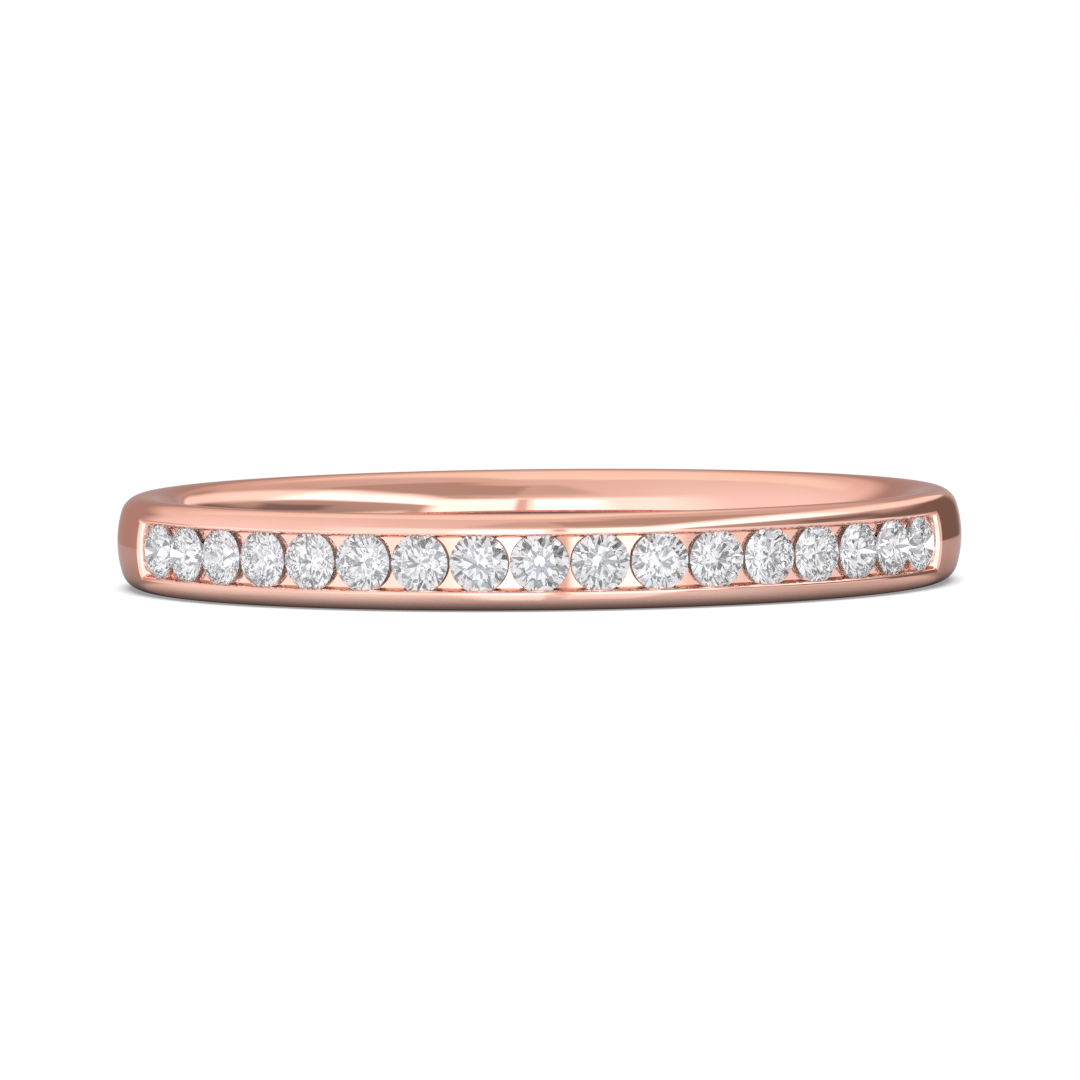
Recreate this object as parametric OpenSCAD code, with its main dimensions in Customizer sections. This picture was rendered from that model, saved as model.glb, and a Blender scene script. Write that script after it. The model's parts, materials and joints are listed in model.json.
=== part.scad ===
// Channel-set half-eternity wedding band: one cast shank and a row of round brilliant stones.
// The ring lies on its side. The origin is the centre of the finger bore at mid-width, +Z is
// the finger axis, and the middle stone faces -Y. All sizes are in millimetres.

/* [Band] */
// Inside diameter, which sets the ring size
bore_d = 17.3; // [16.5:0.1:18.1]
// Radial thickness of the shank at its crest
band_t = 1.85; // [1.85:0.05:2.2]
// Width of the band along the finger
band_w = 2.3; // [2.2:0.05:2.35]
// Radius of the broad outer curve across the band
crown_r = 2.65; // [2.4:0.05:3.2]
// Radius where the outer curve turns into each narrow flat side
shoulder_r = 0.55; // [0.45:0.05:0.55]
// Width of the straight land in the middle of the domed inside
land_w = 0.4; // [0.3:0.05:0.5]

/* [Channel] */
// Clear width between the two rails
channel_w = 1.29; // [1.27:0.01:1.32]
// Radius rolled over each rail's inner edge
rail_edge_r = 0.1; // [0.06:0.01:0.12]
// How far the channel floor lies under the girdles
floor_drop = 0.12; // [0.1:0.01:0.14]
// How far each wall leans in between rail edge and floor
wall_lean = 0.045; // [0.02:0.005:0.05]
// Clear floor beyond the last stone's girdle at each end
end_gap = 0.07; // [0.05:0.01:0.2]

/* [Stones] */
// Number of stones in the row, always odd so that one is in the middle
stone_count = 17; // [9:2:17]
// Girdle diameter of a stone
stone_d = 1.4; // [1.38:0.005:1.41]
// Angle about the finger axis from one stone to the next
stone_pitch = 8.1; // [8.08:0.01:8.2]
// Depth of the girdle plane under the crest of the band
girdle_drop = 0.25; // [0.24:0.01:0.26]
// Table width as a share of the girdle diameter
table_share = 0.57; // [0.53:0.01:0.6]
// Slope of the crown facets
crown_angle = 34.5; // [32:0.5:35]
// Slope of the pavilion facets
pavilion_angle = 40.75; // [40:0.25:42]

/* [Hidden] */
$fn = 96;

// Band
bore_r = bore_d / 2;
crest_r = bore_r + band_t;
half_w = band_w / 2;
crown_centre_r = crest_r - crown_r;
shoulder_z = half_w - shoulder_r;
// The shoulder arc touches the crown arc from inside, which fixes where its centre lies.
shoulder_centre_r = crown_centre_r + sqrt(pow(crown_r - shoulder_r, 2) - pow(shoulder_z, 2));
blend_angle = atan2(shoulder_z, shoulder_centre_r - crown_centre_r);
// The inside is domed for comfort: a half round as high as the band is wide, cut by the bore.
comfort_r = half_w;
comfort_centre_r = bore_r + sqrt(pow(comfort_r, 2) - pow(land_w / 2, 2));
land_angle = asin(land_w / 2 / comfort_r);
arc_step = 7.5;
past = 1;

// Stones
stone_r = stone_d / 2;
girdle_r = crest_r - girdle_drop;
girdle_half = 0.0125 * stone_d;
table_r = table_share * stone_r;
crown_h = (stone_r - table_r) * tan(crown_angle);
star_share = 0.5;
lower_half_share = 0.77;
middle_stone = (stone_count - 1) / 2;

// Channel
half_channel = channel_w / 2;
half_opening = half_channel + rail_edge_r;
floor_r = girdle_r - floor_drop;
opening_r = crown_centre_r + sqrt(pow(crown_r, 2) - pow(half_opening, 2));
rail_base_r = opening_r - rail_edge_r;
last_girdle_angle = middle_stone * stone_pitch + atan2(stone_r, girdle_r);
end_angle = last_girdle_angle + end_gap / floor_r * 180 / PI;

// Seats
seat_clearance = 0.012;
seat_r = stone_r + seat_clearance;
well_depth = 0.18;
cone_end_depth = 0.42;
azure_r = 0.3;

function stone_name(i) = str("stone_", i < 10 ? "0" : "", i);
function on_circle(r, angle) = [r * cos(angle), r * sin(angle)];

// Points of an arc about a centre, from one angle to another in steps near arc_step.
function arc(centre, r, from, to) =
    let (steps = max(2, ceil(abs(to - from) / arc_step)))
    [for (i = [0 : steps]) centre + on_circle(r, from + (to - from) * i / steps)];

// One half of the shank's section, from the crest over the side and in to the bore's land, as
// [radius, height].
function upper_section() = concat(
    arc([crown_centre_r, 0], crown_r, 0, blend_angle),
    arc([shoulder_centre_r, shoulder_z], shoulder_r, blend_angle + arc_step, 90),
    arc([comfort_centre_r, 0], comfort_r, 90, 180 - land_angle)
);

function mirrored(points) = [for (i = [len(points) - 1 : -1 : 1]) [points[i][0], -points[i][1]]];

module shank() {
    rotate_extrude()
        polygon(concat(upper_section(), mirrored(upper_section())));
}

// Profile of a channel wall as [distance in from the opening's edge, radius], floor first.
function wall_profile() = concat(
    [[rail_edge_r + wall_lean, floor_r]],
    [for (p = arc([0, rail_base_r], rail_edge_r, 0, 90)) p],
    [[0, crest_r + past]]
);

// The channel is a ring with shaped rail walls, cut off by a sector with leaning end walls, so
// the corners come out mitred.
module channel_ring() {
    wall = wall_profile();
    upper = [for (p = wall) [p[1], half_opening - p[0]]];
    lower = [for (i = [len(wall) - 1 : -1 : 0]) [wall[i][1], wall[i][0] - half_opening]];
    rotate_extrude()
        polygon(concat(upper, lower));
}

// Half the angle of the channel at a radius: end_angle at the floor and wider towards the crest.
function end_wall_angle(r) =
    end_angle + (r - floor_r) / (opening_r - floor_r) * (rail_edge_r + wall_lean) / floor_r * 180 / PI;

module channel_sector() {
    low_r = floor_r - floor_drop;
    high_r = crest_r + past;
    outer_angle = end_wall_angle(high_r);
    linear_extrude(height = band_w, center = true)
        polygon(concat(
            [[0, 0], on_circle(low_r, -90 - end_wall_angle(low_r))],
            arc([0, 0], high_r, -90 - outer_angle, -90 + outer_angle),
            [on_circle(low_r, -90 + end_wall_angle(low_r))]
        ));
}

// Puts a piece, drawn about its own axis with the girdle at height 0, at its place in the row.
module at_stone(i) {
    rotate([0, 0, (i - 1 - middle_stone) * stone_pitch])
        translate([0, -girdle_r, 0])
            rotate([90, 0, 0])
                children();
}

// A seat is a round well for the girdle, a cone under the pavilion and a hole to the bore.
module seat_cutter() {
    rotate_extrude()
        polygon([
            [0, girdle_half + crown_h + seat_clearance],
            [table_r + seat_clearance, girdle_half + crown_h + seat_clearance],
            [seat_r, girdle_half + seat_clearance],
            [seat_r, -well_depth],
            [azure_r, -cone_end_depth],
            [azure_r, -(girdle_r - bore_r) - past / 2],
            [0, -(girdle_r - bore_r) - past / 2]
        ]);
}

module band() {
    color([0.91, 0.64, 0.55])
        difference() {
            shank();
            intersection() {
                channel_ring();
                channel_sector();
            }
            for (i = [1 : stone_count])
                at_stone(i) seat_cutter();
        }
}

// Round brilliant cut. Vertices are rings of points: the table, the star tips, the girdle's upper
// and lower edge, the tips of the lower girdle facets, and the culet.
module brilliant() {
    mains = 8;
    half_turn = 180 / mains;
    table_mid_r = table_r * cos(half_turn);
    star_r = table_mid_r + star_share * (stone_r - table_mid_r);
    lower_tip_r = (1 - lower_half_share) * stone_r;
    star_z = girdle_half + (stone_r - star_r * cos(half_turn)) * tan(crown_angle);
    lower_tip_z = -girdle_half - (stone_r - lower_tip_r * cos(half_turn)) * tan(pavilion_angle);
    culet_z = -girdle_half - stone_r * tan(pavilion_angle);

    function ring(r, z, count, turn) = [for (i = [0 : count - 1])
        [r * cos(turn + i * 360 / count), r * sin(turn + i * 360 / count), z]];
    points = concat(
        ring(table_r, girdle_half + crown_h, mains, 0),
        ring(star_r, star_z, mains, half_turn),
        ring(stone_r, girdle_half, 2 * mains, 0),
        ring(stone_r, -girdle_half, 2 * mains, 0),
        ring(lower_tip_r, lower_tip_z, mains, half_turn),
        [[0, 0, culet_z]]
    );
    function table(i) = i % mains;
    function star(i) = mains + (i + mains) % mains;
    function upper(i) = 2 * mains + (i + 2 * mains) % (2 * mains);
    function lower(i) = 4 * mains + (i + 2 * mains) % (2 * mains);
    function tip(i) = 6 * mains + (i + mains) % mains;
    culet = 7 * mains;

    // Faces run clockwise as seen from outside.
    table_face = [[for (i = [mains - 1 : -1 : 0]) table(i)]];
    stars = [for (i = [0 : mains - 1]) [table(i), table(i + 1), star(i)]];
    bezels = [for (i = [0 : mains - 1]) [star(i - 1), table(i), star(i), upper(2 * i)]];
    upper_girdle = [for (i = [0 : mains - 1]) each [
        [star(i), upper(2 * i + 1), upper(2 * i)],
        [star(i), upper(2 * i + 2), upper(2 * i + 1)]]];
    girdle = [for (i = [0 : 2 * mains - 1]) [upper(i), upper(i + 1), lower(i + 1), lower(i)]];
    lower_girdle = [for (i = [0 : mains - 1]) each [
        [tip(i), lower(2 * i), lower(2 * i + 1)],
        [tip(i), lower(2 * i + 1), lower(2 * i + 2)]]];
    pavilion_mains = [for (i = [0 : mains - 1]) [culet, tip(i - 1), lower(2 * i), tip(i)]];
    polyhedron(points, concat(table_face, stars, bezels, upper_girdle, girdle, lower_girdle,
                              pavilion_mains));
}

module stone(i) {
    color([0.93, 0.95, 0.97])
        at_stone(i) brilliant();
}

band();
for (i = [1 : stone_count])
    stone(i);
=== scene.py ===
"""Looks of a channel-set wedding band: one cast rose gold band and a row of round brilliants.

All lengths are in metres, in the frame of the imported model: +Z is the finger axis, the ring lies
on its side and the middle stone of the row faces -Y. A position on the ring is given by its
radius from the finger axis, its angle from -Y towards +X, and its height z.
"""

import json
import math

import bmesh
import bpy
import numpy as np
from mathutils import Matrix, Vector


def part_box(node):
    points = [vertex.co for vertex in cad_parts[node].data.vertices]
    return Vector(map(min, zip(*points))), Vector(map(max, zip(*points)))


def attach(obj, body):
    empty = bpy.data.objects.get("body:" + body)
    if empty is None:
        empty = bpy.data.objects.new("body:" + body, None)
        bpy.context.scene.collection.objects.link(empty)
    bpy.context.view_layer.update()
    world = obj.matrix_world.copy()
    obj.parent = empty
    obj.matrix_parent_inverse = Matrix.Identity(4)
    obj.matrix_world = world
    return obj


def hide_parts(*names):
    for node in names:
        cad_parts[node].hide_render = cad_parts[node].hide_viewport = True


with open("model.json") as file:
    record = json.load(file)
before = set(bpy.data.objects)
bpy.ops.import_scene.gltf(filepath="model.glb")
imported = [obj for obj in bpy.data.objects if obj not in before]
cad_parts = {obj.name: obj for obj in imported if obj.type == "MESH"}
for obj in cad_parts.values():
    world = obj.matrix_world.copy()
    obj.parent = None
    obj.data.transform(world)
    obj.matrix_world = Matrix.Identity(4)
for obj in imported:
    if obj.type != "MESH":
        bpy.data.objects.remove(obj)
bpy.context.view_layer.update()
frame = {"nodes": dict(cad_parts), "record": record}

bl_info = {
    "name": "Channel-set wedding band",
    "version": (1, 0, 0),
    "blender": (4, 5, 0),
    "location": "3D View > Sidebar > Ring",
    "description": "Builds a rose gold band with a channel of round brilliants, and a studio for it",
    "category": "Object",
}

MM = 0.001
BODY = "root"
BAND_NODE = "band"
STONE_NODES = sorted(name for name in frame["nodes"] if name.startswith("stone_"))

BAND_LOW, BAND_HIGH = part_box(BAND_NODE)
MIDDLE_STONE_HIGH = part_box(STONE_NODES[len(STONE_NODES) // 2])[1]
BORE = next(m for m in frame["record"]["mounts"] if m["name"] == "finger_bore")


# ---------------------------------------------------------------- sizes and colours

class BandSizes(bpy.types.PropertyGroup):
    """Sizes of the casting"""
    bore_radius: bpy.props.FloatProperty(
        name="Bore radius", description="Radius of the finger bore",
        default=BORE["dims"]["r_mm"] * MM, unit="LENGTH", precision=5)
    crest_radius: bpy.props.FloatProperty(
        name="Crest radius", description="Radius of the band's outermost line",
        default=BAND_HIGH.y, unit="LENGTH", precision=5)
    half_width: bpy.props.FloatProperty(
        name="Half width", description="Half the width of the band along the finger",
        default=BAND_HIGH.z, unit="LENGTH", precision=5)
    crown_radius: bpy.props.FloatProperty(
        name="Crown radius", description="Radius of the broad curve across the outside",
        default=2.65 * MM, unit="LENGTH", precision=5)
    shoulder_radius: bpy.props.FloatProperty(
        name="Shoulder radius", description="Radius where the outside turns into the flat side",
        default=0.55 * MM, unit="LENGTH", precision=5)
    comfort_radius: bpy.props.FloatProperty(
        name="Comfort radius", description="Radius of the domed inside, either side of the land",
        default=1.15 * MM, unit="LENGTH", precision=5)
    land_width: bpy.props.FloatProperty(
        name="Land width", description="Width of the straight wall left in the middle of the bore",
        default=0.4 * MM, unit="LENGTH", precision=5)
    half_channel: bpy.props.FloatProperty(
        name="Half channel", description="Half the clear width between the rails",
        default=0.645 * MM, unit="LENGTH", precision=6)
    rail_edge_radius: bpy.props.FloatProperty(
        name="Rail edge radius", description="Radius rolled over the inner edge of a rail",
        default=0.1 * MM, unit="LENGTH", precision=5)
    floor_drop: bpy.props.FloatProperty(
        name="Floor drop", description="Depth of the channel floor under the girdles",
        default=0.12 * MM, unit="LENGTH", precision=5)
    wall_lean: bpy.props.FloatProperty(
        name="Wall lean", description="How far a channel wall leans in from its top to the floor",
        default=0.045 * MM, unit="LENGTH", precision=6)
    end_gap: bpy.props.FloatProperty(
        name="End gap", description="Clear floor past the last girdle at each end of the channel",
        default=0.07 * MM, unit="LENGTH", precision=5)


class StoneSizes(bpy.types.PropertyGroup):
    """Sizes of a brilliant and its seat, and the spacing of the row"""
    radius: bpy.props.FloatProperty(
        name="Girdle radius", description="Radius of a stone at its girdle",
        default=MIDDLE_STONE_HIGH.z, unit="LENGTH", precision=5)
    pitch: bpy.props.FloatProperty(
        name="Pitch", description="Angle about the finger axis from one stone to the next",
        default=math.radians(8.1), subtype="ANGLE")
    girdle_drop: bpy.props.FloatProperty(
        name="Girdle drop", description="Depth of the girdle plane under the crest of the band",
        default=0.25 * MM, unit="LENGTH", precision=5)
    table_share: bpy.props.FloatProperty(
        name="Table", description="Table width as a share of the girdle's", default=0.57,
        subtype="FACTOR")
    crown_angle: bpy.props.FloatProperty(
        name="Crown angle", description="Slope of the bezel facets",
        default=math.radians(34.5), subtype="ANGLE")
    pavilion_angle: bpy.props.FloatProperty(
        name="Pavilion angle", description="Slope of the pavilion mains",
        default=math.radians(40.75), subtype="ANGLE")
    girdle_share: bpy.props.FloatProperty(
        name="Girdle thickness", description="Half the girdle's thickness as a share of the radius",
        default=0.025, subtype="FACTOR")
    seat_clearance: bpy.props.FloatProperty(
        name="Seat clearance", description="Gap between a girdle and its seat",
        default=0.012 * MM, unit="LENGTH", precision=6)
    well_depth: bpy.props.FloatProperty(
        name="Well depth", description="Depth of the straight wall of a seat under the girdle",
        default=0.18 * MM, unit="LENGTH", precision=5)
    cone_depth: bpy.props.FloatProperty(
        name="Cone depth", description="Depth under the girdle where the seat's cone ends",
        default=0.42 * MM, unit="LENGTH", precision=5)
    azure_radius: bpy.props.FloatProperty(
        name="Azure radius", description="Radius of the hole from each seat to the bore",
        default=0.3 * MM, unit="LENGTH", precision=5)


class Finishes(bpy.types.PropertyGroup):
    """Colours of the alloy and the stones"""
    gold_colour: bpy.props.FloatVectorProperty(
        name="Rose gold", description="Mirror colour of the polished alloy", subtype="COLOR",
        size=4, min=0.0, max=1.0, default=(0.93, 0.59, 0.485, 1.0))
    gold_deep_colour: bpy.props.FloatVectorProperty(
        name="Rose gold, copper-rich", description="Colour of the slightly redder patches",
        subtype="COLOR", size=4, min=0.0, max=1.0, default=(0.91, 0.55, 0.45, 1.0))
    gold_edge_colour: bpy.props.FloatVectorProperty(
        name="Rose gold, edge", description="Mirror colour of the alloy seen at a glancing angle",
        subtype="COLOR", size=4, min=0.0, max=1.0, default=(0.90, 0.71, 0.66, 1.0))
    # Painted shade: a darker colour for the seats, holes and leaning channel walls, where shade
    # falls.
    recess_shade_colour: bpy.props.FloatVectorProperty(
        name="Rose gold, in the seats", description="Colour of the unpolished seats and holes",
        subtype="COLOR", size=4, min=0.0, max=1.0, default=(0.50, 0.33, 0.28, 1.0))
    diamond_colour: bpy.props.FloatVectorProperty(
        name="Stone", description="Body colour of the stones", subtype="COLOR",
        size=4, min=0.0, max=1.0, default=(0.99, 0.99, 1.0, 1.0))
    diamond_faint_colour: bpy.props.FloatVectorProperty(
        name="Stone, faint tint", description="The faintly greyer colour of clouds in a stone",
        subtype="COLOR", size=4, min=0.0, max=1.0, default=(0.95, 0.96, 0.97, 1.0))


def band_sizes():
    """The band's sizes as the user has set them."""
    return bpy.context.scene.band_sizes


def stone_sizes():
    """The stones' sizes as the user has set them."""
    return bpy.context.scene.stone_sizes


# ---------------------------------------------------------------- mesh helpers

WELD = 1e-9
SMOOTH_ANGLE = math.radians(14.0)


def on_ring(radius, angle, z):
    """Points at a radius from the finger axis and an angle from -Y towards +X, at height z."""
    radius, angle, z = np.broadcast_arrays(radius, angle, z)
    return np.stack([radius * np.sin(angle), -radius * np.cos(angle), z], axis=-1)


def grid_quads(rows, columns, first=0):
    """Corner numbers of the quads of a grid of points stored row by row."""
    r, c = np.meshgrid(np.arange(rows - 1), np.arange(columns - 1), indexing="ij")
    corner = first + r * columns + c
    return np.stack([corner, corner + 1, corner + columns + 1, corner + columns], -1).reshape(-1, 4)


def welded(grids):
    """One point list and quad list from grids of points that share their edges.

    Points nearer than WELD become one, and a quad that has lost a corner to this becomes a
    triangle, or goes if it has lost two.
    """
    points, quads, first = [], [], 0
    for grid in grids:
        rows, columns = grid.shape[:2]
        points.append(grid.reshape(-1, 3))
        quads.append(grid_quads(rows, columns, first))
        first += rows * columns
    points, quads = np.concatenate(points), np.concatenate(quads)
    _, kept, index = np.unique(
        np.round(points / WELD).astype(np.int64), axis=0, return_index=True, return_inverse=True)
    quads = index.reshape(-1)[quads]
    repeated = quads == np.roll(quads, 1, axis=1)
    losses = repeated.sum(axis=1)
    whole = quads[losses == 0]
    thin = quads[losses == 1]
    triangles = thin[~repeated[losses == 1]].reshape(-1, 3)
    return points[kept], whole, triangles


def mesh_object(name, points, faces, smooth_angle=None):
    """A mesh object at the origin, with its faces turned outwards."""
    mesh = bpy.data.meshes.new(name)
    mesh.from_pydata(points.tolist(), [], faces)
    shape = bmesh.new()
    shape.from_mesh(mesh)
    bmesh.ops.recalc_face_normals(shape, faces=shape.faces)
    shape.to_mesh(mesh)
    shape.free()
    if smooth_angle is not None:
        mesh.shade_smooth()
        mesh.set_sharp_from_angle(angle=smooth_angle)
    piece = bpy.data.objects.new(name, mesh)
    bpy.context.scene.collection.objects.link(piece)
    return piece


# ---------------------------------------------------------------- band

CELL_STEPS = 16
FLOOR_STEPS = 12
FILLET_STEPS = 6
CELL_EDGE_LEVEL = 3
SHOULDER_STEPS = 24
DOME_STEPS = 20
BACK_STEPS = 200
INNER_STEPS = 4
APPROACH_STEPS = 3
BEARING_STEPS = 2
BISECTIONS = 48
SMALLEST_SINE = 1e-6
# RECESS names the mask of points given painted shade and a rougher surface.
RECESS = "recess"
RECESS_MARGIN = 0.01 * MM


class BandForm:
    """The band's curves, worked out from its sizes.

    Levels number the lines of the channel's wall from its foot to its rim: 0 is the foot, 1 the
    top of the leaning wall, and the rest climb the rolled rail edge, a quarter circle.
    """

    def __init__(self):
        band, stone = band_sizes(), stone_sizes()
        self.bore_r = band.bore_radius
        self.half_w = band.half_width
        self.crown_r = band.crown_radius
        self.crown_centre = band.crest_radius - band.crown_radius
        self.shoulder_r = band.shoulder_radius
        self.shoulder_z = self.half_w - self.shoulder_r
        self.shoulder_centre = self.crown_centre + math.sqrt(
            (self.crown_r - self.shoulder_r) ** 2 - self.shoulder_z ** 2)
        self.blend_angle = math.atan2(self.shoulder_z, self.shoulder_centre - self.crown_centre)
        self.comfort_r = band.comfort_radius
        self.half_land = band.land_width / 2
        self.comfort_centre = self.bore_r + math.sqrt(self.comfort_r ** 2 - self.half_land ** 2)
        self.girdle_r = band.crest_radius - stone.girdle_drop
        self.floor_r = self.girdle_r - band.floor_drop
        self.half_opening = band.half_channel + band.rail_edge_radius
        self.opening_r = float(self.crown_radius_at(self.half_opening))

        turn = np.linspace(0.0, math.pi / 2, FILLET_STEPS + 1)
        edge = band.rail_edge_radius
        base = self.opening_r - edge
        inset = np.concatenate([[edge + band.wall_lean], edge * np.cos(turn)])
        self.level_z = self.half_opening - inset
        self.level_r = np.concatenate([[self.floor_r], base + edge * np.sin(turn)])

        self.pitch = stone.pitch
        self.count = len(STONE_NODES)
        self.cell_half = self.count * self.pitch / 2
        girdle_end = (self.count - 1) / 2 * self.pitch + math.atan2(stone.radius, self.girdle_r)
        floor_end = girdle_end + band.end_gap / self.floor_r
        self.level_angle = floor_end + (self.level_z - self.level_z[0]) / self.floor_r

        self.seat_r = stone.radius + stone.seat_clearance
        self.seat_top = stone.girdle_share * stone.radius + stone.seat_clearance
        self.crown_slope = math.tan(stone.crown_angle)
        self.well_depth = stone.well_depth
        self.cone_depth = stone.cone_depth
        self.azure_r = stone.azure_radius

        floor_z = np.linspace(-self.level_z[0], self.level_z[0], FLOOR_STEPS + 1)
        upper = self.level_z[1:CELL_EDGE_LEVEL + 1]
        self.cell_z = np.concatenate([-upper[::-1], floor_z, upper])
        rest = self.level_z[CELL_EDGE_LEVEL + 1:]
        self.opening_z = np.concatenate([-rest[::-1], self.cell_z, rest])

    def crown_radius_at(self, z):
        """Radius of the broad outer curve at a height: a circle of crown_r about its centre."""
        return self.crown_centre + np.sqrt(self.crown_r ** 2 - np.square(z))

    def bore_radius_at(self, z):
        """Radius of the inside at a height: the straight land, then a circle of comfort_r."""
        z = np.minimum(np.abs(z), self.comfort_r)
        domed = self.comfort_centre - np.sqrt(self.comfort_r ** 2 - np.square(z))
        return np.where(z < self.half_land, self.bore_r, domed)

    def rail_radius_at(self, z):
        """Radius of floor, leaning wall and rolled edge as one curve of the height's size."""
        z = np.abs(z)
        edge = self.half_opening - self.level_z[1]
        across = np.clip(self.half_opening - z, 0.0, edge)
        rolled = self.level_r[1] + np.sqrt(edge ** 2 - across ** 2)
        lean = np.interp(z, self.level_z[:2], self.level_r[:2])
        return np.where(z < self.level_z[1], lean, rolled)


def arc(centre, radius, start, stop, steps):
    """Points of an arc as rows of (radius, height), from one angle to another."""
    turn = np.linspace(start, stop, steps + 1)
    return np.stack([centre[0] + radius * np.cos(turn), centre[1] + radius * np.sin(turn)], -1)


def upper_section(form):
    """Section from the rim of the opening over the shoulder and down the bore to the cells.

    It is the broad outer curve, the shoulder's arc, the narrow flat side and the domed inside,
    each starting where the one before it ends.
    """
    rim_turn = math.asin(form.half_opening / form.crown_r)
    inner_turn = math.asin(form.cell_z[-1] / form.comfort_r)
    crown = arc((form.crown_centre, 0.0), form.crown_r, rim_turn, form.blend_angle, 1)
    shoulder = arc((form.shoulder_centre, form.shoulder_z), form.shoulder_r,
                   form.blend_angle, math.pi / 2, SHOULDER_STEPS)
    domed = arc((form.comfort_centre, 0.0), form.comfort_r,
                math.pi / 2, math.pi - inner_turn, DOME_STEPS)
    return np.concatenate([crown, shoulder[1:], domed])


def channel_angles(form):
    """Angles of the columns across all cells, from the first cell's edge to the last one's."""
    return np.linspace(-form.cell_half, form.cell_half, form.count * CELL_STEPS + 1)


def end_angles(form):
    """Angles of the columns from the last cell's edge up the end wall to its rim."""
    return np.concatenate([[form.cell_half], form.level_angle])


def back_angles(form):
    """Angles of the columns round the plain back, from one rim of the channel to the other."""
    rim = form.level_angle[-1]
    return np.linspace(rim, 2 * math.pi - rim, BACK_STEPS + 1)


def shank_grids(form):
    """The section swept round the whole ring, above and below, and the plain back's two walls."""
    ends = end_angles(form)
    turns = np.concatenate([channel_angles(form), ends[1:], back_angles(form)[1:],
                            2 * math.pi - ends[-2::-1]])
    section = upper_section(form)
    upper = on_ring(section[:, :1], turns, section[:, 1:])
    lower = on_ring(section[:, :1], turns, -section[:, 1:])

    outer_z = form.opening_z[:, None]
    outer = on_ring(form.crown_radius_at(outer_z), back_angles(form), outer_z)
    inner_turns = np.concatenate([ends, back_angles(form)[1:], 2 * math.pi - ends[-2::-1]])
    inner = on_ring(form.bore_radius_at(form.cell_z[:, None]), inner_turns, form.cell_z[:, None])
    return [upper, lower, outer, inner]


def rail_grids(form):
    """The rolled rail edges beside the cells, from the cells' border up to the rim."""
    z = form.level_z[CELL_EDGE_LEVEL:, None]
    radius = form.level_r[CELL_EDGE_LEVEL:, None]
    turns = channel_angles(form)
    return [on_ring(radius, turns, z), on_ring(radius, turns, -z)]


def end_grids(form):
    """The two ends of the channel, as heights over angle and z.

    The wall level of a point is the higher of its row's and its column's, which gives mitred
    corners, and the rim rises to the broad outer curve.
    """
    levels = len(form.level_z)
    row_level = np.interp(np.abs(form.opening_z), form.level_z, np.arange(levels))
    row_level = np.round(row_level).astype(int)
    column_level = np.concatenate([[0], np.arange(levels)])
    level = np.maximum(row_level[:, None], column_level[None, :])
    bulge = form.crown_radius_at(form.opening_z) - form.opening_r
    radius = form.level_r[level] + bulge[:, None] * (column_level / (levels - 1))[None, :]
    z = form.opening_z[:, None]
    turns = end_angles(form)
    return [on_ring(radius, turns, z), on_ring(radius, -turns, z)]


def cell_border(form):
    """Angles and heights once round a cell's border, and each point's radius on the channel."""
    half = form.pitch / 2
    across = np.linspace(-half, half, CELL_STEPS + 1)
    z = form.cell_z
    angle = np.concatenate([np.full(len(z) - 1, half), across[:0:-1],
                            np.full(len(z) - 1, -half), across])
    height = np.concatenate([z[:-1], np.full(CELL_STEPS, z[-1]),
                             z[:0:-1], np.full(CELL_STEPS + 1, z[0])])
    return angle, height, form.rail_radius_at(height)


def seat_cut(form, outwards, count):
    """Distance from the stone's axis at which the seat cuts the rail, on each of count rays.

    It is the seat's own radius where the channel stays under the top of the seat. Elsewhere it
    is where the rail's surface meets the bearing's cone, found by halving the span between.
    """
    low, high = np.zeros(count), np.full(count, form.seat_r)
    for _ in range(BISECTIONS):
        middle = (low + high) / 2
        inside = outwards(middle) < form.seat_top + (form.seat_r - middle) * form.crown_slope
        low, high = np.where(inside, middle, low), np.where(inside, high, middle)
    return np.where(outwards(np.full(count, form.seat_r)) <= form.seat_top, form.seat_r, low)


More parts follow.
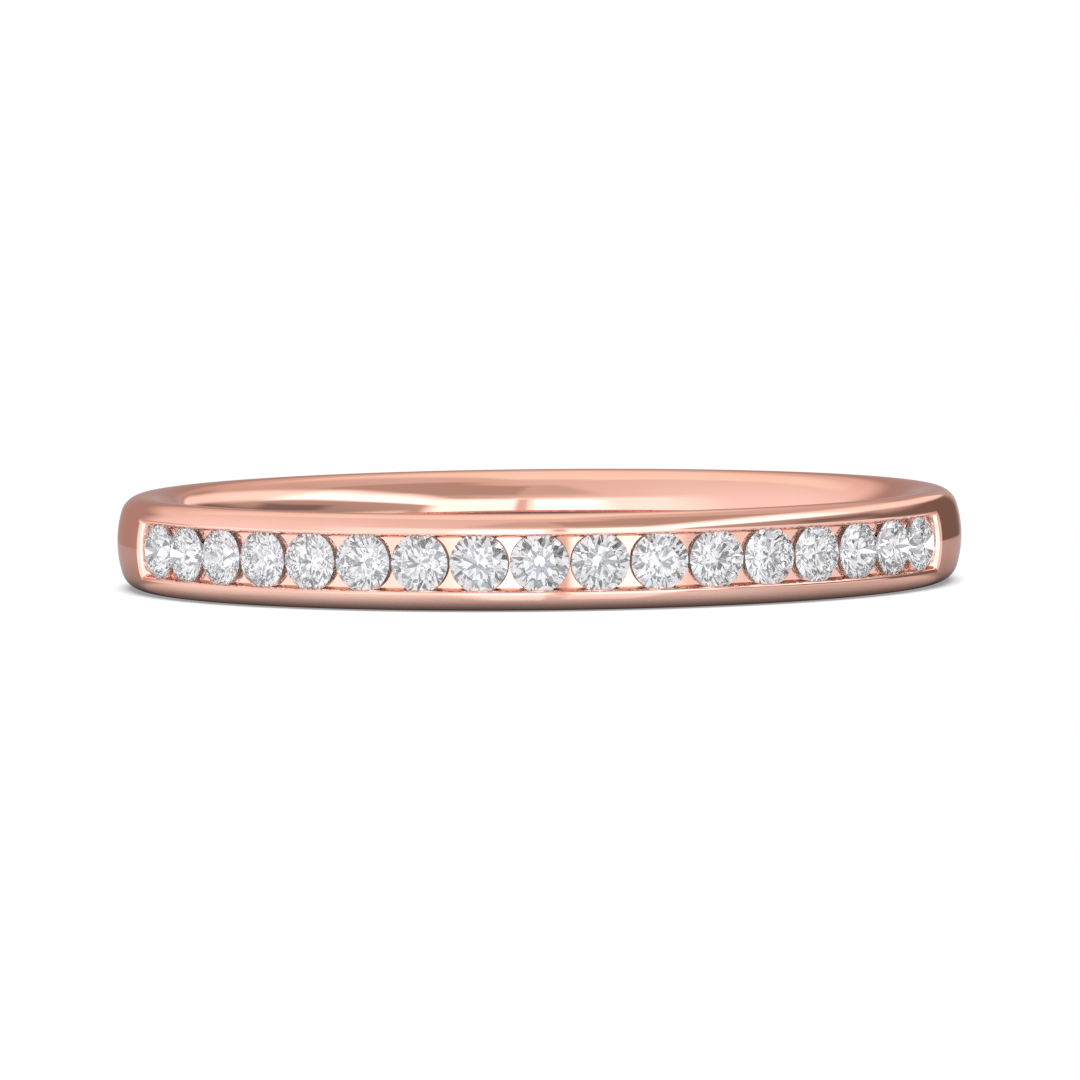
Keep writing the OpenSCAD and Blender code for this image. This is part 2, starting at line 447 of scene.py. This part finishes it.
def cell_grid(form):
    """One seat with the piece of channel and bore round it, about the stone's own axis.

    Every ray from the stone's axis to the border is a column. Going in, its rows follow the
    rail's curve to where the seat cuts it, then the seat: the bearing under the rail, a cone at
    the crown's slope; the round well; the cone under the pavilion; the hole; and last the bore,
    out to the border again. Rows are (along the row of stones, height z, outwards).
    """
    angle, height, radius = cell_border(form)
    x = radius * np.sin(angle)
    reach = np.hypot(x, height)
    cos, sin = x / reach, height / reach
    steep = np.maximum(np.abs(sin), SMALLEST_SINE)

    def outwards(rho):
        surface = form.rail_radius_at(rho * sin)
        return np.sqrt(surface ** 2 - (rho * cos) ** 2) - form.girdle_r

    cut = seat_cut(form, outwards, len(reach))

    def row(rho, out):
        return np.stack(np.broadcast_arrays(rho * cos, rho * sin, out), -1)

    rows = [row(reach, radius * np.cos(angle) - form.girdle_r)]
    for level in range(CELL_EDGE_LEVEL - 1, -1, -1):
        rho = np.maximum(np.minimum(reach, form.level_z[level] / steep), cut)
        out = np.where(rho == reach, rows[0][:, 2], outwards(rho))
        rows.append(row(rho, out))
    foot = rho
    for share in np.arange(1, APPROACH_STEPS + 1) / APPROACH_STEPS:
        rho = foot + (cut - foot) * share
        rows.append(row(rho, np.where(rho == reach, rows[0][:, 2], outwards(rho))))
    under_rail = cut < form.seat_r
    for share in np.arange(1, BEARING_STEPS + 1) / BEARING_STEPS:
        rho = cut + (form.seat_r - cut) * share
        bearing = form.seat_top + (form.seat_r - rho) * form.crown_slope
        rows.append(row(rho, np.where(under_rail, bearing, rows[-1][:, 2])))
    rows.append(row(form.seat_r, (rows[-1][:, 2] - form.well_depth) / 2))
    rows.append(row(form.seat_r, -form.well_depth))
    rows.append(row((form.seat_r + form.azure_r) / 2, -(form.well_depth + form.cone_depth) / 2))
    rows.append(row(form.azure_r, -form.cone_depth))
    mouth_r = form.bore_radius_at(form.azure_r * sin)
    hole_out = np.sqrt(mouth_r ** 2 - (form.azure_r * cos) ** 2) - form.girdle_r
    rows.append(row(form.azure_r, (hole_out - form.cone_depth) / 2))
    mouth = row(form.azure_r, hole_out)
    rows.append(mouth)
    inner_r = form.bore_radius_at(height)
    border = np.stack([inner_r * np.sin(angle), height,
                       inner_r * np.cos(angle) - form.girdle_r], -1)
    for share in np.arange(1, INNER_STEPS) / INNER_STEPS:
        between = mouth * (1 - share) + border * share
        inner_r = form.bore_radius_at(between[:, 1])
        between[:, 2] = np.sqrt(inner_r ** 2 - between[:, 0] ** 2) - form.girdle_r
        rows.append(between)
    return np.stack(rows + [border])


def at_stone(points, index, form):
    """Points given as (along the row, z, outwards) about stone number index, put on the ring."""
    turn = (index - (form.count - 1) / 2) * form.pitch
    along = np.array([math.cos(turn), math.sin(turn), 0.0])
    outwards = np.array([math.sin(turn), -math.cos(turn), 0.0])
    up = np.array([0.0, 0.0, 1.0])
    out = points[..., 2:] + form.girdle_r
    return points[..., :1] * along + points[..., 1:2] * up + out * outwards


def recess_shade_and_rough_mask(points, form):
    """1 for the points that get painted shade and a rougher surface, else 0.

    They are the seats and holes between the channel's floor and the bore, and the leaning walls
    of the channel, whose painted shade is darkest at their top line.
    """
    radius = np.hypot(points[:, 0], points[:, 1])
    angle = np.arctan2(points[:, 0], -points[:, 1])
    under_floor = radius < form.floor_r - RECESS_MARGIN
    past_bore = radius > form.bore_radius_at(points[:, 2]) + RECESS_MARGIN
    height = np.abs(points[:, 2])
    in_channel = (np.abs(angle) < form.cell_half) & (height < form.level_z[1] + RECESS_MARGIN)
    on_wall = np.abs(radius - form.level_r[1]) < RECESS_MARGIN
    return (in_channel & past_bore & (under_floor | on_wall)).astype(np.float32)


def make_band():
    """The casting: shank, rails, channel ends and one cell for each stone, welded into one."""
    form = BandForm()
    cell = cell_grid(form)
    grids = shank_grids(form) + rail_grids(form) + end_grids(form)
    grids += [at_stone(cell, index, form) for index in range(form.count)]
    points, quads, triangles = welded(grids)
    piece = mesh_object("rose_gold_band", points, quads.tolist() + triangles.tolist(), SMOOTH_ANGLE)
    # The recess mask: painted shade and a rougher surface in the seats, holes and channel walls.
    recess = piece.data.attributes.new(RECESS, "FLOAT", "POINT")
    recess.data.foreach_set("value", recess_shade_and_rough_mask(points, form))
    return piece


# ---------------------------------------------------------------- stones

MAINS = 8
RIM_STEPS = 6
STAR_SHARE = 0.5
LOWER_HALF_SHARE = 0.77
SPIN_SEED = 17


def ring_points(radius, turns, height):
    """Points at a radius from +Z, an angle from +X and a height."""
    radius, turns, height = np.broadcast_arrays(radius, turns, height)
    return np.stack([radius * np.cos(turns), radius * np.sin(turns), height], -1)


def rim_heights(tips, corners, turns, radius):
    """Height of the girdle's wavy rim: each break facet's plane, met by the round girdle.

    A break facet's plane goes through its tip and its two corners on the girdle.
    """
    a, b = corners, np.roll(corners, -1, axis=0)
    normal = np.cross(a - tips, b - tips)
    facet = np.arange(len(turns)) // RIM_STEPS
    n, tip = normal[facet], tips[facet]
    flat = ring_points(radius, turns, 0.0)
    run = n[:, 0] * (flat[:, 0] - tip[:, 0]) + n[:, 1] * (flat[:, 1] - tip[:, 1])
    return tip[:, 2] - run / n[:, 2]


def brilliant(sizes):
    """Points and faces of a 57-facet round brilliant about +Z, its girdle round z = 0.

    Bezels and pavilion mains are planes at the crown and pavilion angles. The star tips and the
    lower half tips lie on those planes, at their shares of the way across.
    """
    radius = sizes.radius
    half_girdle = sizes.girdle_share * radius
    half_turn = math.pi / MAINS
    mains = np.arange(MAINS) * 2 * half_turn
    crown, pavilion = math.tan(sizes.crown_angle), math.tan(sizes.pavilion_angle)
    table_r = sizes.table_share * radius
    table_z = half_girdle + (radius - table_r) * crown
    table_mid = table_r * math.cos(half_turn)
    star_r = table_mid + STAR_SHARE * (radius - table_mid)
    star_z = half_girdle + (radius - star_r * math.cos(half_turn)) * crown
    tip_r = (1 - LOWER_HALF_SHARE) * radius
    tip_z = -half_girdle - (radius - tip_r * math.cos(half_turn)) * pavilion
    culet_z = -half_girdle - radius * pavilion

    table = ring_points(table_r, mains, table_z)
    stars = ring_points(star_r, mains + half_turn, star_z)
    tips = ring_points(tip_r, mains + half_turn, tip_z)
    corner_turns = np.arange(2 * MAINS) * half_turn
    rim_turns = np.arange(2 * MAINS * RIM_STEPS) * half_turn / RIM_STEPS
    upper_z = rim_heights(np.repeat(stars, 2, axis=0),
                          ring_points(radius, corner_turns, half_girdle), rim_turns, radius)
    lower_z = rim_heights(np.repeat(tips, 2, axis=0),
                          ring_points(radius, corner_turns, -half_girdle), rim_turns, radius)
    upper_rim = ring_points(radius, rim_turns, upper_z)
    lower_rim = ring_points(radius, rim_turns, lower_z)
    points = np.concatenate([table, stars, upper_rim, lower_rim, tips, [[0.0, 0.0, culet_z]]])

    rim = len(rim_turns)
    first_star, first_upper = MAINS, 2 * MAINS
    first_lower, first_tip = first_upper + rim, first_upper + 2 * rim
    culet = first_tip + MAINS

    def upper(step):
        return first_upper + step % rim

    def lower(step):
        return first_lower + step % rim

    faces = [list(range(MAINS))]
    for i in range(MAINS):
        before, after = (i - 1) % MAINS, (i + 1) % MAINS
        corner = 2 * i * RIM_STEPS
        faces.append([i, first_star + i, after])
        faces.append([i, first_star + before, upper(corner), first_star + i])
        faces.append([culet, first_tip + i, lower(corner), first_tip + before])
        for half in range(2):
            start = corner + half * RIM_STEPS
            steps = range(start, start + RIM_STEPS + 1)
            faces.append([first_star + i] + [upper(s) for s in steps])
            faces.append([first_tip + i] + [lower(s) for s in steps][::-1])
    faces += [[upper(s), lower(s), lower(s + 1), upper(s + 1)] for s in range(rim)]
    return points, faces


def make_stone(index, spin):
    """One brilliant in its seat, turned by spin about its own axis."""
    points, faces = brilliant(stone_sizes())
    turned = np.stack([points[:, 0] * math.cos(spin) - points[:, 1] * math.sin(spin),
                       points[:, 0] * math.sin(spin) + points[:, 1] * math.cos(spin),
                       points[:, 2]], -1)
    placed = at_stone(turned, index, BandForm())
    return mesh_object("brilliant_%02d" % (index + 1), placed, faces)


# ---------------------------------------------------------------- node helpers

# Places of the sockets that a Mix node uses for colours. Their names stand on it more than once.
MIX_FACTOR = 0
MIX_BELOW = 6
MIX_ABOVE = 7
MIX_COLOUR = 2


def new_material(name):
    """A material with its node tree and the tree's own shader."""
    material = bpy.data.materials.new(name)
    material.use_nodes = True
    tree = material.node_tree
    return material, tree, tree.nodes["Principled BSDF"]


def node(tree, kind, inputs=None, **settings):
    """A shader node with its settings and its unlinked input values."""
    made = tree.nodes.new(kind)
    for key, value in settings.items():
        setattr(made, key, value)
    for key, value in (inputs or {}).items():
        made.inputs[key].default_value = value
    return made


def maths(tree, operation, *values):
    """A math node on sockets or plain numbers."""
    made = node(tree, "ShaderNodeMath", operation=operation)
    for socket, value in zip(made.inputs, values):
        if isinstance(value, bpy.types.NodeSocket):
            tree.links.new(value, socket)
        else:
            socket.default_value = value
    return made.outputs["Value"]


def product(tree, *values):
    """The product of sockets or plain numbers, of which the first is a socket."""
    result = values[0]
    for value in values[1:]:
        result = maths(tree, "MULTIPLY", result, value)
    return result


def over(tree, below, above, mask):
    """One colour laid over another through a mask; the upper one is a socket or a colour."""
    mix = node(tree, "ShaderNodeMix", data_type="RGBA")
    tree.links.new(mask, mix.inputs[MIX_FACTOR])
    tree.links.new(below, mix.inputs[MIX_BELOW])
    if isinstance(above, bpy.types.NodeSocket):
        tree.links.new(above, mix.inputs[MIX_ABOVE])
    else:
        mix.inputs[MIX_ABOVE].default_value = above
    return mix.outputs[MIX_COLOUR]


def ramp(tree, value, stops):
    """A colour ramp over a value, from (position, colour) stops in rising order."""
    made = node(tree, "ShaderNodeValToRGB")
    elements = made.color_ramp.elements
    for position, _ in stops[1:-1]:
        elements.new(position)
    for element, (position, colour) in zip(elements, stops):
        element.position = position
        element.color = colour
    tree.links.new(value, made.inputs["Fac"])
    return made.outputs["Color"]


def soft_window(tree, value, low, high, below, above):
    """A mask that is 1 between two values and fades out below and above over these widths."""
    edges = []
    for start, stop in ((low - below, low), (high + above, high)):
        edge = node(tree, "ShaderNodeMapRange", interpolation_type="SMOOTHSTEP")
        edge.inputs["From Min"].default_value = start
        edge.inputs["From Max"].default_value = stop
        tree.links.new(value, edge.inputs["Value"])
        edges.append(edge.outputs["Result"])
    return product(tree, *edges)


# ---------------------------------------------------------------- finishes

PATCH_SCALE = 260.0
PATCH_SPAN = (0.35, 0.62)
HAZE_SCALE = 1400.0
POLISH = (0.03, 0.065)
RECESS_ROUGHNESS = 0.3
HAIR_SCALE = 900.0
HAIR_STRETCH = 30.0
HAIR_STRENGTH = 0.01
HAIR_HEIGHT = 0.01 * MM
STONE_IOR = 2.417
CLOUD_SCALE = 1800.0
CLOUD_SPAN = (0.3, 0.6)
STONE_POLISH = (0.0, 0.004)


def rose_gold():
    """Polished 14 carat rose gold: fine buffing haze, faint hairlines and copper-rich patches.

    The points marked as recess get a darker colour, which is painted shade, and a rougher surface.
    """
    finish = bpy.context.scene.ring_finishes
    material, tree, shader = new_material("rose_gold")
    shader.inputs["Metallic"].default_value = 1.0
    shader.inputs["Specular Tint"].default_value = finish.gold_edge_colour
    link = tree.links.new

    place = node(tree, "ShaderNodeTexCoord")
    patches = node(tree, "ShaderNodeTexNoise", {"Scale": PATCH_SCALE, "Detail": 3.0})
    link(place.outputs["Object"], patches.inputs["Vector"])
    alloy = ramp(tree, patches.outputs["Fac"], (
        (PATCH_SPAN[0], finish.gold_deep_colour), (PATCH_SPAN[1], finish.gold_colour)))
    # Painted shade: the recesses are given the darker recess colour.
    recess = node(tree, "ShaderNodeAttribute", attribute_name=RECESS)
    link(over(tree, alloy, finish.recess_shade_colour, recess.outputs["Fac"]),
         shader.inputs["Base Color"])

    haze = node(tree, "ShaderNodeTexNoise", {"Scale": HAZE_SCALE, "Detail": 4.0})
    roughness = node(tree, "ShaderNodeMapRange", {"To Min": POLISH[0], "To Max": POLISH[1]})
    link(place.outputs["Object"], haze.inputs["Vector"])
    link(haze.outputs["Fac"], roughness.inputs["Value"])
    link(maths(tree, "MULTIPLY_ADD", recess.outputs["Fac"], RECESS_ROUGHNESS,
               roughness.outputs["Result"]), shader.inputs["Roughness"])

    stretch = node(tree, "ShaderNodeMapping", {"Scale": (1.0, 1.0, HAIR_STRETCH)})
    hairs = node(tree, "ShaderNodeTexNoise", {"Scale": HAIR_SCALE, "Detail": 2.0})
    bump = node(tree, "ShaderNodeBump", {"Strength": HAIR_STRENGTH, "Distance": HAIR_HEIGHT})
    link(place.outputs["Object"], stretch.inputs["Vector"])
    link(stretch.outputs["Vector"], hairs.inputs["Vector"])
    link(hairs.outputs["Fac"], bump.inputs["Height"])
    link(bump.outputs["Normal"], shader.inputs["Normal"])
    return material


def diamond():
    """Colourless stone of high refraction, with a faint cloud in its body and polish."""
    finish = bpy.context.scene.ring_finishes
    material, tree, shader = new_material("diamond")
    shader.inputs["IOR"].default_value = STONE_IOR
    shader.inputs["Transmission Weight"].default_value = 1.0
    link = tree.links.new

    place = node(tree, "ShaderNodeTexCoord")
    cloud = node(tree, "ShaderNodeTexNoise", {"Scale": CLOUD_SCALE, "Detail": 2.0})
    link(place.outputs["Object"], cloud.inputs["Vector"])
    body = ramp(tree, cloud.outputs["Fac"], (
        (CLOUD_SPAN[0], finish.diamond_faint_colour), (CLOUD_SPAN[1], finish.diamond_colour)))
    link(body, shader.inputs["Base Color"])
    polish = node(tree, "ShaderNodeMapRange", {"To Min": STONE_POLISH[0], "To Max": STONE_POLISH[1]})
    link(cloud.outputs["Fac"], polish.inputs["Value"])
    link(polish.outputs["Result"], shader.inputs["Roughness"])
    return material


# ---------------------------------------------------------------- studio

# The lens and the sensor's width are in millimetres, as a Blender camera counts them.
CAMERA_LENS = 281.0
SENSOR_WIDTH = 36.0
CAMERA_DISTANCE = 0.210
CAMERA_ELEVATION = math.radians(3.56)
CAMERA_ROLL = math.radians(0.59)
CAMERA_AIM = (0.014 * MM, 0.0, -0.09 * MM)
CAMERA_CLIP = (0.01, 10.0)
LIGHT_BOUNCES = 24

DISC_STEPS = 128
DOME_SUBDIVISIONS = 4
HIDING_SAMPLES = 12

# The floor's glow falls to CONTACT_GREY where the open share of its sky, as far as
# CONTACT_REACH, goes down from the second to the first of CONTACT_OPEN.
FLOOR_RADIUS = 1.0
FLOOR_GAP = 0.004 * MM
FLOOR_WHITE = 1.02
CONTACT_GREY = 0.33
CONTACT_REACH = 0.8 * MM
CONTACT_OPEN = (0.25, 0.60)

# The share of light that the shading sheet lets through, over the open share of its sky.
SHADE_RADIUS = 0.2
SHADE_GAP = 0.001 * MM
SHADE_REACH = 0.05
SHADE_LIGHT = (
    (0.0, (0.03, 0.03, 0.03, 1.0)),
    (0.25, (0.16, 0.16, 0.16, 1.0)),
    (0.50, (0.37, 0.37, 0.37, 1.0)),
    (0.58, (0.64, 0.64, 0.64, 1.0)),
    (1.0, (1.0, 1.0, 1.0, 1.0)),
)

BACKDROP_GLOW = 1.2

# The stones' tent: its glow at the front and at the back, and the shades of its cards.
TENT_RADIUS = 0.8
TENT_SCALE = 4.0
TENT_GLOW = (0.72, 2.0)
TENT_CARDS = (
    (0.0, (0.03, 0.031, 0.034, 1.0)),
    (0.30, (0.08, 0.082, 0.088, 1.0)),
    (0.36, (0.28, 0.288, 0.30, 1.0)),
    (0.64, (0.46, 0.47, 0.485, 1.0)),
    (0.74, (1.06, 1.06, 1.08, 1.0)),
)

# Light of the walls above the horizon and below it, over the way from -X to +X. The horizon's
# elevation and its feather are in degrees.
HORIZON = -3.45
HORIZON_FEATHER = 0.25
WALLS = (
    (0.0, (1.12, 1.05, 1.07, 1.0)),
    (0.5, (0.84, 0.73, 0.68, 1.0)),
    (1.0, (0.42, 0.36, 0.34, 1.0)),
)
LOW_WALLS = (
    (0.0, (1.40, 1.40, 1.42, 1.0)),
    (0.8, (1.30, 1.27, 1.28, 1.0)),
    (1.0, (0.82, 0.78, 0.80, 1.0)),
)

# Panels: name, side, bearings, elevations, feathers of the two bearings and of the elevations,
# light. A later panel lies over an earlier one. All angles are in degrees.
HIGH_PANELS = (
    ("back ceiling", "back", (-32, 6), (38, 72), (12, 12, 10), (1.08, 1.05, 0.96, 1.0)),
    ("back wall", "back", (-34, 4), (-5, 16), (16, 8, 10), (0.50, 0.41, 0.39, 1.0)),
    ("front ceiling", "front", (-16, 8), (56, 78), (16, 8, 8), (0.68, 0.60, 0.55, 1.0)),
    ("right back wall", "front", (112, 162), (-5, 19), (12, 12, 11), (0.22, 0.175, 0.16, 1.0)),
    ("right wall", "front", (88, 112), (24, 30), (12, 12, 4), (0.24, 0.20, 0.19, 1.0)),
    ("right ceiling", "front", (12, 125), (56, 76), (6, 12, 8), (0.52, 0.43, 0.38, 1.0)),
    ("right skirting", "front", (50, 106), (-5, 6), (8, 8, 10), (0.92, 0.86, 0.85, 1.0)),
)
LOW_PANELS = (
    ("back floor", "back", (-60, 60), (-14, 5), (20, 20, 6), (0.58, 0.55, 0.56, 1.0)),
    ("right floor", "front", (40, 112), (-16, 5), (8, 8, 8), (1.04, 1.00, 1.00, 1.0)),
)
FRONT_PANELS = (
    ("front wash", "front", (-38, 8), (-44, 38), (44, 4, 10), (1.48, 1.42, 1.44, 1.0)),
    ("left box", "front", (-16, 0), (-58, 32), (14, 3, 14), (2.0, 2.05, 2.2, 1.0)),
    ("right box", "front", (10, 34), (-58, 38), (3, 9, 8), (1.8, 1.82, 1.9, 1.0)),
    ("gap between the boxes", "front", (5, 7), (-6, 38), (2, 2, 6), (0.86, 0.74, 0.70, 1.0)),
)

# Bars on the wall at +X: name, places towards +Y and heights, both over the wall's distance,
# feathers of the two ends and of the two edges, light.
SMALLEST_X = 1e-3
SIDE_BARS = (
    ("far bar", (0.5, 4.5), (0.98, 1.25), (0.6, 1.0), (0.25, 0.6), (1.26, 1.22, 1.20, 1.0)),
    ("near bar", (-2.0, 0.25), (0.94, 1.05), (0.8, 0.6), (0.16, 0.85), (2.0, 2.0, 2.1, 1.0)),
)


def make_camera():
    """A long lens, a little above the ring and rolled a little, that looks from -Y."""
    data = bpy.data.cameras.new("camera")
    data.lens = CAMERA_LENS
    data.sensor_width = SENSOR_WIDTH
    data.clip_start, data.clip_end = CAMERA_CLIP
    camera = bpy.data.objects.new("camera", data)
    bpy.context.scene.collection.objects.link(camera)
    aim = Vector(CAMERA_AIM)
    away = Vector((0.0, -math.cos(CAMERA_ELEVATION), math.sin(CAMERA_ELEVATION)))
    facing = away.to_track_quat("Z", "Y").to_matrix().to_4x4()
    roll = Matrix.Rotation(-CAMERA_ROLL, 4, "Z")
    camera.matrix_world = Matrix.Translation(aim + away * CAMERA_DISTANCE) @ facing @ roll
    bpy.context.scene.camera = camera


def stage_disc(name, radius, height, material):
    """A flat round sheet of the studio at a height."""
    turns = np.linspace(0.0, 2 * math.pi, DISC_STEPS, endpoint=False)
    sheet = mesh_object(name, ring_points(radius, turns, height), [list(range(len(turns)))])
    sheet.data.materials.append(material)
    return sheet


def seen_by(piece, *rays):
    """Says which rays meet a piece of the studio."""
    for kind in ("camera", "diffuse", "glossy", "transmission", "shadow"):
        setattr(piece, "visible_" + kind, kind in rays)


def glow_material(name):
    """A material that only glows, with its node tree and the glow's node."""
    material, tree, _ = new_material(name)
    tree.nodes.clear()
    glow = node(tree, "ShaderNodeEmission")
    out = node(tree, "ShaderNodeOutputMaterial")
    tree.links.new(glow.outputs["Emission"], out.inputs["Surface"])
    return material, tree, glow


def open_share(tree, reach):
    """The share of the sky over a point that nothing hides, as far as reach."""
    made = node(tree, "ShaderNodeAmbientOcclusion", {"Distance": reach}, samples=HIDING_SAMPLES)
    return made.outputs["AO"]


def make_floor():
    """A white floor with the ring's contact shadow, for the camera."""
    paper, tree, glow = glow_material("studio_floor")
    shadow = node(tree, "ShaderNodeMapRange", {
        "From Min": CONTACT_OPEN[0], "From Max": CONTACT_OPEN[1],
        "To Min": CONTACT_GREY, "To Max": FLOOR_WHITE})
    tree.links.new(open_share(tree, CONTACT_REACH), shadow.inputs["Value"])
    tree.links.new(shadow.outputs["Result"], glow.inputs["Strength"])
    seen_by(stage_disc("studio_floor", FLOOR_RADIUS, BAND_LOW.z - FLOOR_GAP, paper), "camera")


def make_shade():
    """A clear sheet under the ring, for its reflections.

    It dims the light that comes up past the ring into its lower half.
    """
    shade, tree, _ = new_material("studio_shade")
    tree.nodes.clear()
    clear = node(tree, "ShaderNodeBsdfTransparent")
    out = node(tree, "ShaderNodeOutputMaterial")
    tree.links.new(ramp(tree, open_share(tree, SHADE_REACH), SHADE_LIGHT), clear.inputs["Color"])
    tree.links.new(clear.outputs["BSDF"], out.inputs["Surface"])
    seen_by(stage_disc("studio_shade", SHADE_RADIUS, BAND_LOW.z - SHADE_GAP, shade), "glossy")


def stage_dome(name, radius, material):
    """A ball round the studio."""
    mesh = bpy.data.meshes.new(name)
    ball = bmesh.new()
    bmesh.ops.create_icosphere(ball, subdivisions=DOME_SUBDIVISIONS, radius=radius)
    ball.to_mesh(mesh)
    ball.free()
    mesh.materials.append(material)
    dome = bpy.data.objects.new(name, mesh)
    bpy.context.scene.collection.objects.link(dome)
    return dome


def make_backdrop():
    """A white dome for the camera, and one for the light that comes through the stones.

    The stones' dome is a white tent with grey and dark cards hung in it, which give the facets
    their contrast.
    """
    white, _, glow = glow_material("studio_backdrop")
    glow.inputs["Strength"].default_value = BACKDROP_GLOW
    seen_by(stage_dome("studio_backdrop", FLOOR_RADIUS, white), "camera")

    tent, tree, glow = glow_material("stone_tent")
    place = node(tree, "ShaderNodeTexCoord")
    cards = node(tree, "ShaderNodeTexVoronoi", {"Scale": TENT_SCALE, "Randomness": 1.0})
    spread = node(tree, "ShaderNodeSeparateColor")
    tree.links.new(place.outputs["Object"], cards.inputs["Vector"])
    tree.links.new(cards.outputs["Color"], spread.inputs["Color"])
    tree.links.new(ramp(tree, spread.outputs["Red"], TENT_CARDS), glow.inputs["Color"])
    depth = node(tree, "ShaderNodeSeparateXYZ")
    tree.links.new(place.outputs["Object"], depth.inputs["Vector"])
    fall = node(tree, "ShaderNodeMapRange", {
        "From Min": -TENT_RADIUS, "From Max": TENT_RADIUS,
        "To Min": TENT_GLOW[0], "To Max": TENT_GLOW[1]})
    tree.links.new(depth.outputs["Y"], fall.inputs["Value"])
    tree.links.new(fall.outputs["Result"], glow.inputs["Strength"])
    seen_by(stage_dome("stone_tent", TENT_RADIUS, tent), "transmission")


def make_world():
    """The studio's walls and soft boxes, as colours of the directions they lie in.

    A panel is a soft-edged patch between two bearings and two elevations, in degrees. Bearings
    count from the front, or from the back for a panel at the back, towards +X. A side bar is a
    straight strip on a wall at +X, between two places along it and two heights, both over the
    wall's distance. Walls and panels below the horizon are laid under those that cross it.
    """
    world = bpy.data.worlds.new("studio")
    bpy.context.scene.world = world
    world.use_nodes = True
    tree = world.node_tree
    place = node(tree, "ShaderNodeTexCoord")
    split = node(tree, "ShaderNodeSeparateXYZ")
    tree.links.new(place.outputs["Generated"], split.inputs["Vector"])
    x, y, z = (split.outputs[axis] for axis in "XYZ")
    degree = 180 / math.pi
    elevation = product(tree, maths(tree, "ARCSINE", z), degree)
    bearings = {
        "front": product(tree, maths(tree, "ARCTAN2", x, product(tree, y, -1.0)), degree),
        "back": product(tree, maths(tree, "ARCTAN2", x, y), degree),
    }

    def with_panels(colour, panels):
        for _, side, bearing, height, feathers, light in panels:
            mask = product(tree, soft_window(tree, bearings[side], *bearing, *feathers[:2]),
                           soft_window(tree, elevation, *height, feathers[2], feathers[2]))
            colour = over(tree, colour, light, mask)
        return colour

    across = maths(tree, "MULTIPLY_ADD", x, 0.5, 0.5)
    high = with_panels(ramp(tree, across, WALLS), HIGH_PANELS)
    safe_x = maths(tree, "MAXIMUM", x, SMALLEST_X)
    rise = maths(tree, "DIVIDE", z, safe_x)
    along = maths(tree, "DIVIDE", y, safe_x)
    for _, places, heights, ends, edges, light in SIDE_BARS:
        mask = product(tree, soft_window(tree, along, *places, *ends),
                       soft_window(tree, rise, *heights, *edges))
        high = over(tree, high, light, mask)
    low = with_panels(ramp(tree, across, LOW_WALLS), LOW_PANELS)
    horizon = node(tree, "ShaderNodeMapRange", interpolation_type="SMOOTHSTEP")
    horizon.inputs["From Min"].default_value = HORIZON + HORIZON_FEATHER
    horizon.inputs["From Max"].default_value = HORIZON - HORIZON_FEATHER
    tree.links.new(elevation, horizon.inputs["Value"])
    colour = with_panels(over(tree, high, low, horizon.outputs["Result"]), FRONT_PANELS)
    tree.links.new(colour, tree.nodes["Background"].inputs["Color"])


# ---------------------------------------------------------------- operators

class RING_OT_band(bpy.types.Operator):
    """Make the cast band with its channel and seats"""
    bl_idname = "ring.band"
    bl_label = "Cast the band"

    def execute(self, context):
        piece = make_band()
        piece.data.materials.append(rose_gold())
        piece.visible_transmission = False
        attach(piece, BODY)
        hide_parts(BAND_NODE)
        return {"FINISHED"}


class RING_OT_stones(bpy.types.Operator):
    """Cut the brilliants and set each one in its seat"""
    bl_idname = "ring.stones"
    bl_label = "Set the stones"

    def execute(self, context):
        material = diamond()
        spins = np.random.default_rng(SPIN_SEED).uniform(0.0, 2 * math.pi / MAINS, len(STONE_NODES))
        for index, name in enumerate(STONE_NODES):
            piece = make_stone(index, spins[index])
            piece.data.materials.append(material)
            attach(piece, BODY)
            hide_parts(name)
        return {"FINISHED"}


class RING_OT_studio(bpy.types.Operator):
    """Make the floor, the light and the camera"""
    bl_idname = "ring.studio"
    bl_label = "Set up the studio"

    def execute(self, context):
        make_camera()
        make_floor()
        make_shade()
        make_backdrop()
        make_world()
        scene = context.scene
        scene.view_settings.view_transform = "Standard"
        scene.cycles.max_bounces = LIGHT_BOUNCES
        scene.cycles.glossy_bounces = LIGHT_BOUNCES
        scene.cycles.transmission_bounces = LIGHT_BOUNCES
        return {"FINISHED"}


class RING_PT_panel(bpy.types.Panel):
    """The sizes and colours of the ring, and the steps that make it"""
    bl_idname = "RING_PT_panel"
    bl_label = "Wedding band"
    bl_space_type = "VIEW_3D"
    bl_region_type = "UI"
    bl_category = "Ring"

    def draw(self, context):
        for group in ("band_sizes", "stone_sizes", "ring_finishes"):
            sizes = getattr(context.scene, group)
            box = self.layout.box()
            for name in sizes.__annotations__:
                box.prop(sizes, name)
        for operator in (RING_OT_studio, RING_OT_band, RING_OT_stones):
            self.layout.operator(operator.bl_idname)


CLASSES = (BandSizes, StoneSizes, Finishes, RING_OT_band, RING_OT_stones, RING_OT_studio,
           RING_PT_panel)


def register():
    """Adds the classes and the scene's settings."""
    for made in CLASSES:
        bpy.utils.register_class(made)
    bpy.types.Scene.band_sizes = bpy.props.PointerProperty(type=BandSizes)
    bpy.types.Scene.stone_sizes = bpy.props.PointerProperty(type=StoneSizes)
    bpy.types.Scene.ring_finishes = bpy.props.PointerProperty(type=Finishes)


def unregister():
    """Takes the settings and the classes away again."""
    del bpy.types.Scene.ring_finishes
    del bpy.types.Scene.stone_sizes
    del bpy.types.Scene.band_sizes
    for made in reversed(CLASSES):
        bpy.utils.unregister_class(made)


def main():
    """Makes the studio, the band and the stones."""
    register()
    bpy.ops.ring.studio()
    bpy.ops.ring.band()
    bpy.ops.ring.stones()


if __name__ == "__main__":
    main()
